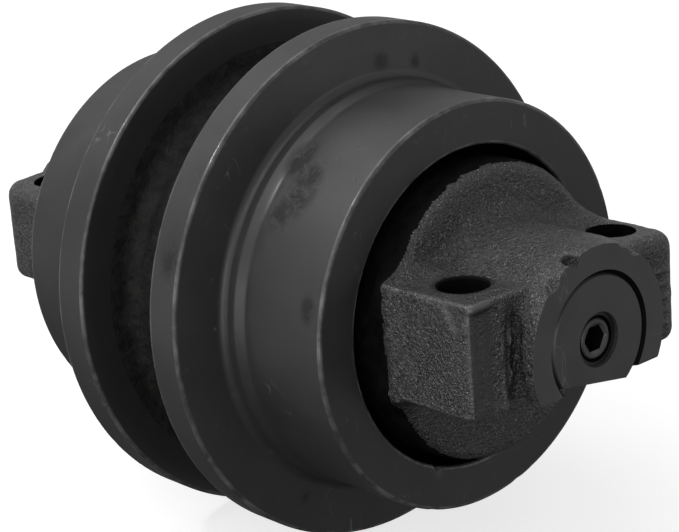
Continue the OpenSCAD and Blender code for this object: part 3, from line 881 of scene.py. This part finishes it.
def cast_surface(p):
    """Height of the as-cast surface at points p (x, a, z), in mm."""
    x, a, z = p.T
    cast = np.clip((a - RECESS_A - 4.0) / 4.0, 0, 1)
    relief = casting_relief(p)
    # the ears' end faces are coarser, with slanting flow marks
    end = np.clip((np.abs(x) - (EAR_HALF - 2.0)) / 1.5, 0, 1) * np.clip((EAR_A - 4.0 - a) / 22.0, 0, 1)
    slant = np.stack([x, (a * 0.8 - z * 0.6) * 2.4, (a * 0.6 + z * 0.8) * 0.45], -1)
    relief = relief + end * 0.42 * noise3(slant, 2.6, 3.0)
    # smoother where the outer faces were fettled
    calm = np.clip((np.abs(x) - 34.5) / 1.5, 0, 1) * np.clip((a - EAR_A + 2.0) / 1.5, 0, 1)
    calm = calm * np.clip((EAR_A + 0.6 - a) / 0.5, 0, 1) * (x < 0)
    relief = relief * (1 - 0.85 * calm)
    relief = relief * np.clip(cast_mark(x, a, z), 0.15, 1.0)
    rough_slot = np.clip(1 - np.abs(x + 28.5) / 4.5, 0, 1) * np.clip((a - EAR_A + 4.0) / 2.0, 0, 1)
    relief = relief + rough_slot * 0.28 * noise3(p * np.array([1.0, 1.0, 0.6]), 1.8, 8.0)
    # none beside the seat
    flat = np.clip((z - SEAT_Z - 0.4) / 0.8, 0, 1)
    return relief * np.where(a > DISC_A + 3.0, cast * flat, cast)


def collar_edges_and_shade(verts, f, lo, h, n):
    """Per-point values for the casting's material: lighter edges, painted shade in creases and round the
    disc's rim, and calm.
    """
    # how far each point stands out of, or sits in, its neighbourhood
    s = 2
    i, j, k = np.clip(((verts - lo) / h).round().astype(int), s, n - 1 - s).T
    lap = f[i + s, j, k] + f[i - s, j, k] + f[i, j + s, k] + f[i, j - s, k]
    lap = lap + f[i, j, k + s] + f[i, j, k - s]
    lap = (lap - 6 * f[i, j, k]) / (s * h)
    # convex places take the lighter edge colour, partly wear and partly painted highlight; hollow ones take
    # painted shade
    edge = np.clip(lap / 1.6 - 0.35, 0, 1)
    cavity = np.clip(-lap / 1.8 - 0.25, 0, 1)
    # painted shade: darker towards the disc's rim, in the gap, mostly on one side
    x, a, z = verts.T
    side = np.clip(-0.9 - 1.9 * np.cos(np.arctan2(z, x) - 0.05), 0, 1)
    rim_shade = np.clip((np.hypot(x, z) - 42.0 + 5.0 * side + 1.5 * noise3(verts, 4.0, 3.0)) / 3.5, 0, 1)
    rim_shade *= np.clip((DISC_A + 2.0 - a) / 3.0, 0, 1) * (0.25 + 0.75 * side)
    calm = np.clip((np.abs(x) - 34.0) / 1.5, 0, 1) * np.clip((a - EAR_A + 2.0) / 1.0, 0, 1) * (x < 0)
    patch = np.clip(1 - cast_mark(x, a, z) / 0.6, 0, 1)
    return {"edge": edge, "cavity": np.maximum(cavity, rim_shade), "calm": np.maximum(calm, 0.6 * patch)}


def collar_cutters():
    """Bore with a chamfered mouth, pin hole, and two bolt holes with a shallow spot face each."""
    bore = [(BORE_R + 3.9, -BOSS_A - 3), (BORE_R + 0.9, -BOSS_A)]
    bore += [(BORE_R, -BOSS_A + 0.9), (BORE_R, -HUB_A + 5)]
    pin = [(PIN_HOLE_R, -40), (PIN_HOLE_R, 20.9)]
    floor = EAR_TOP - SPOT_DEPTH
    bolt = [(BOLT_R, -30), (BOLT_R, EAR_TOP - 0.7), (BOLT_R + 0.5, floor)]
    bolt += [(SPOT_R, floor), (SPOT_R + 0.2, 25)]
    tools = [
        round_cutter("t_bore", bore, "y", (0, 0, 0), 160),
        round_cutter("t_pin", pin, "z", (9.5, -SHELL_A - 24.0, 0), 48),
    ]
    for s in (-1, 1):
        tools.append(round_cutter("t_bolt", bolt, "z", (s * BOLT_X, -BOLT_A, 0), 96))
    return tools


def build_collar():
    h = 0.76
    pad = 3.0
    # the small odd offsets keep grid points off the flat faces
    lo = np.array([-EAR_HALF - pad - 0.013, HUB_A - pad - 0.017, -DISC_R - pad - 0.011])
    hi = np.array([EAR_HALF + pad, BOSS_A + 1.5 + pad, DISC_R + pad])
    n = np.ceil((hi - lo) / h).astype(int) + 1
    axes = [(lo[k] + h * np.arange(n[k])).astype(np.float32) for k in range(3)]
    x, a, z = np.meshgrid(*axes, indexing="ij")
    f = collar_field(x, a, z).astype(np.float32)
    near = (np.abs(f) < 2.5 * h) & (a > RECESS_A + 3.0)
    f[near] += cast_surface(np.stack([x[near], a[near], z[near]], -1))
    verts, faces = surface_nets(f, lo, h)
    seat = (np.abs(verts[:, 2] - SEAT_Z) < 0.3 * h) & (verts[:, 1] > DISC_A + 3.6)
    verts[seat, 2] = SEAT_Z
    v = verts * np.array([1.0, -1.0, 1.0])
    o = add_object("collar_near", v * MM, faces, [M_CAST], None, collar_edges_and_shade(verts, f, lo, h, n))
    fix_normals(o)
    face_off(o.data, (0, -BOSS_A * MM, 0), (0, -1, 0))
    subtract(o, collar_cutters())
    finish_cuts(o.data)
    return o


def finish_cuts(me):
    """Gives the machined faces their own finish, with crisp edges against the casting."""
    count = len(me.polygons)
    cen, nor = np.zeros(count * 3), np.zeros(count * 3)
    me.polygons.foreach_get("center", cen)
    me.polygons.foreach_get("normal", nor)
    cen, nor = cen.reshape(-1, 3) * 1000, nor.reshape(-1, 3)
    r = np.hypot(cen[:, 0], cen[:, 2])
    face = (np.abs(cen[:, 1] + BOSS_A) < 0.02) & (nor[:, 1] < -0.99)
    seat = (np.abs(cen[:, 2] - SEAT_Z) < 0.02) & (nor[:, 2] < -0.99)
    bore = (r < BORE_R + 1.0) & ~face
    hole, spot = np.zeros(count, bool), np.zeros(count, bool)
    for s in (-1, 1):
        d = np.hypot(cen[:, 0] - s * BOLT_X, cen[:, 1] + BOLT_A)
        hole |= (d < BOLT_R + 0.6) & (np.abs(nor[:, 2]) < 0.9)
        spot |= (d < 11.1) & (nor[:, 2] > 0.99) & (np.abs(cen[:, 2] - EAR_TOP + SPOT_DEPTH) < 0.02)
    me.materials.clear()
    for m in (M_CAST, M_FACED, M_DARK):
        me.materials.append(m)
    index = np.zeros(count, np.int32)
    # painted shade: the disc's rim, in the gap, takes the near-black material, wider on one side
    side = np.clip(-0.9 + 1.9 * -np.cos(np.arctan2(cen[:, 2], cen[:, 0]) - 0.05), 0, 1)
    ragged = 0.4 * noise3(cen, 2.5, 5.0)
    rim = (r > 42.4 - 1.2 * side + ragged) & (-cen[:, 1] < DISC_A - 1.9 + 1.4 * side + ragged)
    index[rim] = 2
    index[face | seat] = 1
    # painted shade: the bore and the bolt holes take the near-black material
    index[hole | bore] = 2
    me.polygons.foreach_set("material_index", index)
    smooth = ~(face | seat | spot)
    me.polygons.foreach_set("use_smooth", smooth)
    bm = bmesh.new()
    bm.from_mesh(me)
    edge_wear_and_highlight = bm.verts.layers.float["edge"]
    # a cast edge against a faced surface takes the lighter edge colour: partly wear, partly a painted
    # highlight
    for e in bm.edges:
        kinds = {f.material_index for f in e.link_faces}
        angle = e.calc_face_angle(0.0)
        if kinds == {0, 1}:
            for v in e.verts:
                v[edge_wear_and_highlight] = 1.0
        e.smooth = not (len(kinds) > 1 and angle > 0.3) and not (angle > 0.6 and kinds == {2})
    bm.to_mesh(me)
    bm.free()
    me.update()


near = build_collar()
far_mesh = near.data.copy()
far_mesh.transform(Matrix.Rotation(math.pi, 4, "Z"))
far = bpy.data.objects.new("collar_far", far_mesh)
bpy.context.scene.collection.objects.link(far)
for o, cad in ((near, "collar_front"), (far, "collar_rear")):
    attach(o, "axle")
    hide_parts(cad)


# ---------------------------------------------------------------- oil plug
def oil_plug():
    seg = 96
    length = 11.0
    hex_r = HEX_FLATS / math.cos(math.pi / 6) / 2
    depth = 6.0
    bm = bmesh.new()
    rings = [(PLUG_R - 0.9, -length), (PLUG_R - 0.05, -length + 1.2)]
    pitch = 1.25
    k = 0
    d = -length + 1.4
    while d < -1.7:
        rings.append((PLUG_R - (0.05 if k % 2 else 0.55), d))
        d += pitch / 2
        k += 1
    rings += [(PLUG_R - 0.5, -1.5), (PLUG_R - 0.05, -1.4), (PLUG_R - 0.05, -1.2)]
    rings += [(PLUG_R - 1.0, -0.35), (PLUG_R - 1.35, 0.0), (hex_r + 0.45, 0.0)]

    def row(outline, t):
        points = [outline(i) for i in range(seg)]
        return [bm.verts.new((x * MM, -(PLUG_A + t) * MM, z * MM)) for x, z in points]

    def circle(i, r):
        return r * math.cos(2 * math.pi * i / seg), r * math.sin(2 * math.pi * i / seg)

    def hexagon(i, size):
        th = (2 * math.pi * i / seg) % (math.pi / 3) - math.pi / 6
        rr = size * math.cos(math.pi / 6) / math.cos(th)
        return rr * math.cos(2 * math.pi * i / seg), rr * math.sin(2 * math.pi * i / seg)

    rows = [row(lambda i: circle(i, r), t) for r, t in rings]
    for size, t in ((hex_r, -0.55), (hex_r, -depth), (hex_r * 0.55, -depth - 0.5)):
        rows.append(row(lambda i: hexagon(i, size), t))
    for a, b in zip(rows, rows[1:]):
        for i in range(seg):
            j = (i + 1) % seg
            bm.faces.new((a[i], a[j], b[j], b[i]))
    bm.faces.new(rows[0])
    bm.faces.new(rows[-1])
    bmesh.ops.recalc_face_normals(bm, faces=bm.faces)
    me = bpy.data.meshes.new("plug_socket")
    bm.to_mesh(me)
    bm.free()
    me.materials.append(M_PLUG)
    me.materials.append(M_DARK)
    # painted shade: the hexagon socket's inside and the outer chamfer take the near-black material
    for poly in me.polygons:
        c = poly.center * 1000
        rr = math.hypot(c[0], c[2])
        if (rr < hex_r - 0.05 and -c[1] < PLUG_A - 0.6) or rr > PLUG_R - 0.75:
            poly.material_index = 1
    me.shade_smooth()
    me.set_sharp_from_angle(angle=math.radians(28))
    o = bpy.data.objects.new("plug_socket", me)
    bpy.context.scene.collection.objects.link(o)
    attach(o, "axle")
    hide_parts("oil_plug")


oil_plug()


# ---------------------------------------------------------------- carried-over CAD nodes
def shaft_material():
    """Ground journal inside, thin black paint on the ends that show, with painted shade in the front end's
    counterbore and round both ends' rims.
    """
    m, nt, bsdf = new_material("shaft_painted_ends", 0.4, (0.02, 0.02, 0.021))
    v = coords(nt)
    sep = nt.nodes.new("ShaderNodeSeparateXYZ")
    nt.links.new(v, sep.inputs[0])
    out = math_node(nt, "ABSOLUTE", sep.outputs["Y"])
    end = math_node(nt, "MULTIPLY", math_node(nt, "SUBTRACT", out, (SHELL_A + 12) * MM), 1.0 / 0.004, True)
    mottle = noise_tex(nt, v, 90.0, 4.0, 0.6)
    paint = ramp(nt, mottle, [(0.3, (0.033, 0.033, 0.034)), (0.7, (0.044, 0.044, 0.045))])
    paint = mix_colour(nt, hairlines(nt, v, 0.62), paint, (0.15, 0.15, 0.155))
    flat = nt.nodes.new("ShaderNodeCombineXYZ")
    nt.links.new(sep.outputs["X"], flat.inputs["X"])
    nt.links.new(sep.outputs["Z"], flat.inputs["Z"])
    radius = nt.nodes.new("ShaderNodeVectorMath")
    radius.operation = "LENGTH"
    nt.links.new(flat.outputs[0], radius.inputs[0])
    reach = math_node(nt, "MULTIPLY", radius.outputs["Value"], 50.0)
    # painted shade in the counterbore; only the front end has the plug's counterbore
    front_end = math_node(nt, "LESS_THAN", sep.outputs["Y"], 0.0)
    counterbore_shade = math_node(nt, "MULTIPLY", ramp(nt, reach, [(0.385, grey(1.0)), (0.39, grey(0.0))]), front_end)
    # painted shade round the rim of both ends, in the gap to the collar's bore
    rim = math_node(nt, "MAXIMUM", counterbore_shade, ramp(nt, reach, [(0.885, grey(0.0)), (0.90, grey(1.0))]))
    chips = ramp(nt, noise_tex(nt, v, 480.0, 3.0, 0.6), [(0.69, grey(0.0)), (0.75, grey(1.0))])
    paint = mix_colour(nt, math_node(nt, "MULTIPLY", chips, 0.5), paint, (0.10, 0.10, 0.105))
    paint = mix_colour(nt, rim, paint, (0.003, 0.003, 0.003))
    col = mix_colour(nt, end, (0.42, 0.42, 0.43), paint)
    nt.links.new(col, bsdf.inputs["Base Color"])
    nt.links.new(math_node(nt, "SUBTRACT", 1.0, end), bsdf.inputs["Metallic"])
    nt.links.new(ramp(nt, mottle, [(0.3, grey(0.34)), (0.7, grey(0.48))]), bsdf.inputs["Roughness"])
    fine = noise_tex(nt, v, 1500.0, 2.0, 0.5)
    bump(nt, bsdf, [(fine, 0.14, 0.00008)])
    return m


def dress(cad, mat):
    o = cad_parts[cad]
    for s in o.material_slots:
        s.link = "OBJECT"
        s.material = mat


M_SHAFT = shaft_material()
for cad in ("bush_front", "bush_rear"):
    dress(cad, M_BRONZE)
for end in ("front", "rear"):
    for side in ("turning", "fixed"):
        dress("seal_ring_%s_%s" % (side, end), M_LAPPED)
        dress("seal_rubber_%s_%s" % (side, end), M_RUBBER)
    dress("shaft_oring_" + end, M_RUBBER)
    dress("lock_pin_" + end, M_PIN)
dress("shaft", M_SHAFT)


# ---------------------------------------------------------------- stage, light and camera
floor_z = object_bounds()[0][2]


def floor():
    """A pale sheet: partly self-lit so that it stays white, and kept out of the roller's reflections."""
    me = bpy.data.meshes.new("floor")
    s = 8.0
    corners = [(-s, -s, floor_z), (s, -s, floor_z), (s, s, floor_z), (-s, s, floor_z)]
    me.from_pydata(corners, [], [(0, 1, 2, 3)])
    m, nt, bsdf = new_material("floor_pale", 0.7, (0.4, 0.4, 0.4), spec=0.0)
    v = coords(nt)
    colour = ramp(nt, noise_tex(nt, v, 3.0, 2.0), [(0.3, grey(0.39)), (0.7, grey(0.41))])
    nt.links.new(colour, bsdf.inputs["Base Color"])
    bsdf.inputs["Emission Color"].default_value = (1, 1, 1, 1)
    bsdf.inputs["Emission Strength"].default_value = 0.72
    me.materials.append(m)
    o = bpy.data.objects.new("floor", me)
    bpy.context.scene.collection.objects.link(o)
    o.visible_diffuse = False
    o.visible_glossy = False
    o.visible_shadow = False
    o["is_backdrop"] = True


floor()


def softbox(name, pos, target, size, power, size_y):
    d = bpy.data.lights.new(name, "AREA")
    d.shape = "RECTANGLE"
    d.size = size
    d.size_y = size_y
    d.energy = power
    o = bpy.data.objects.new(name, d)
    o.location = pos
    o.rotation_euler = (Vector(target) - Vector(pos)).to_track_quat("-Z", "Y").to_euler()
    bpy.context.scene.collection.objects.link(o)


softbox("key_top", (-0.3, 0.5, 1.6), (0, 0, 0.02), 1.8, 13.0, 1.2)
softbox("top_left", (-1.2, -0.25, 1.15), (0, 0, 0), 1.4, 6.0, 1.0)
softbox("left", (-1.7, 0.35, 0.0), (0, 0, 0), 1.2, 7.0, 1.0)
softbox("spark", (-0.75, 0.55, 1.1), (0, 0, 0.02), 0.10, 5.0, 0.10)
softbox("fill_left", (-1.35, -1.25, 0.0), (0, 0, 0), 1.3, 9.0, 1.2)
softbox("fill_front", (0.9, -1.3, 0.35), (0, 0, 0), 0.9, 1.6, 0.9)


def studio_world():
    """White to the camera; as a light it is dim, brighter overhead and nearly dark from below."""
    world = bpy.data.worlds.new("studio")
    bpy.context.scene.world = world
    world.use_nodes = True
    nt = world.node_tree
    out = nt.nodes["World Output"]
    plain = nt.nodes["Background"]
    plain.inputs["Color"].default_value = (1, 1, 1, 1)
    plain.inputs["Strength"].default_value = 1.0
    sky = nt.nodes.new("ShaderNodeBackground")
    tc = nt.nodes.new("ShaderNodeTexCoord")
    sep = nt.nodes.new("ShaderNodeSeparateXYZ")
    nt.links.new(tc.outputs["Generated"], sep.inputs[0])
    up = math_node(nt, "MULTIPLY", math_node(nt, "ADD", sep.outputs["Z"], 1.0), 0.5)
    stops = [(0.06, 0.02), (0.20, 0.12), (0.42, 0.36), (0.60, 0.42), (1.0, 0.48)]
    nt.links.new(ramp(nt, up, [(at, grey(value)) for at, value in stops]), sky.inputs["Color"])
    sky.inputs["Strength"].default_value = 1.0
    path = nt.nodes.new("ShaderNodeLightPath")
    mix = nt.nodes.new("ShaderNodeMixShader")
    nt.links.new(path.outputs["Is Camera Ray"], mix.inputs[0])
    nt.links.new(sky.outputs[0], mix.inputs[1])
    nt.links.new(plain.outputs[0], mix.inputs[2])
    nt.links.new(mix.outputs[0], out.inputs["Surface"])


studio_world()
bpy.context.scene.view_settings.view_transform = "Standard"

cam = bpy.data.cameras.new("camera")
cam.sensor_width = 36.0
cam.lens = 117.8
cam.clip_start = 0.01
cam_o = bpy.data.objects.new("camera", cam)
bpy.context.scene.collection.objects.link(cam_o)
bpy.context.scene.camera = cam_o
look = Vector((0.62666836, 0.71744011, -0.30424736)).normalized()
up = Vector((0.25647038, 0.178794, 0.94987139)).normalized()
right = look.cross(up).normalized()
up = right.cross(look).normalized()
rot = Matrix((right, up, -look)).transposed().to_4x4()
cam_o.matrix_world = Matrix.Translation(Vector((-0.42396813, -0.42774219 - SHELL_A * MM, 0.20718781))) @ rot
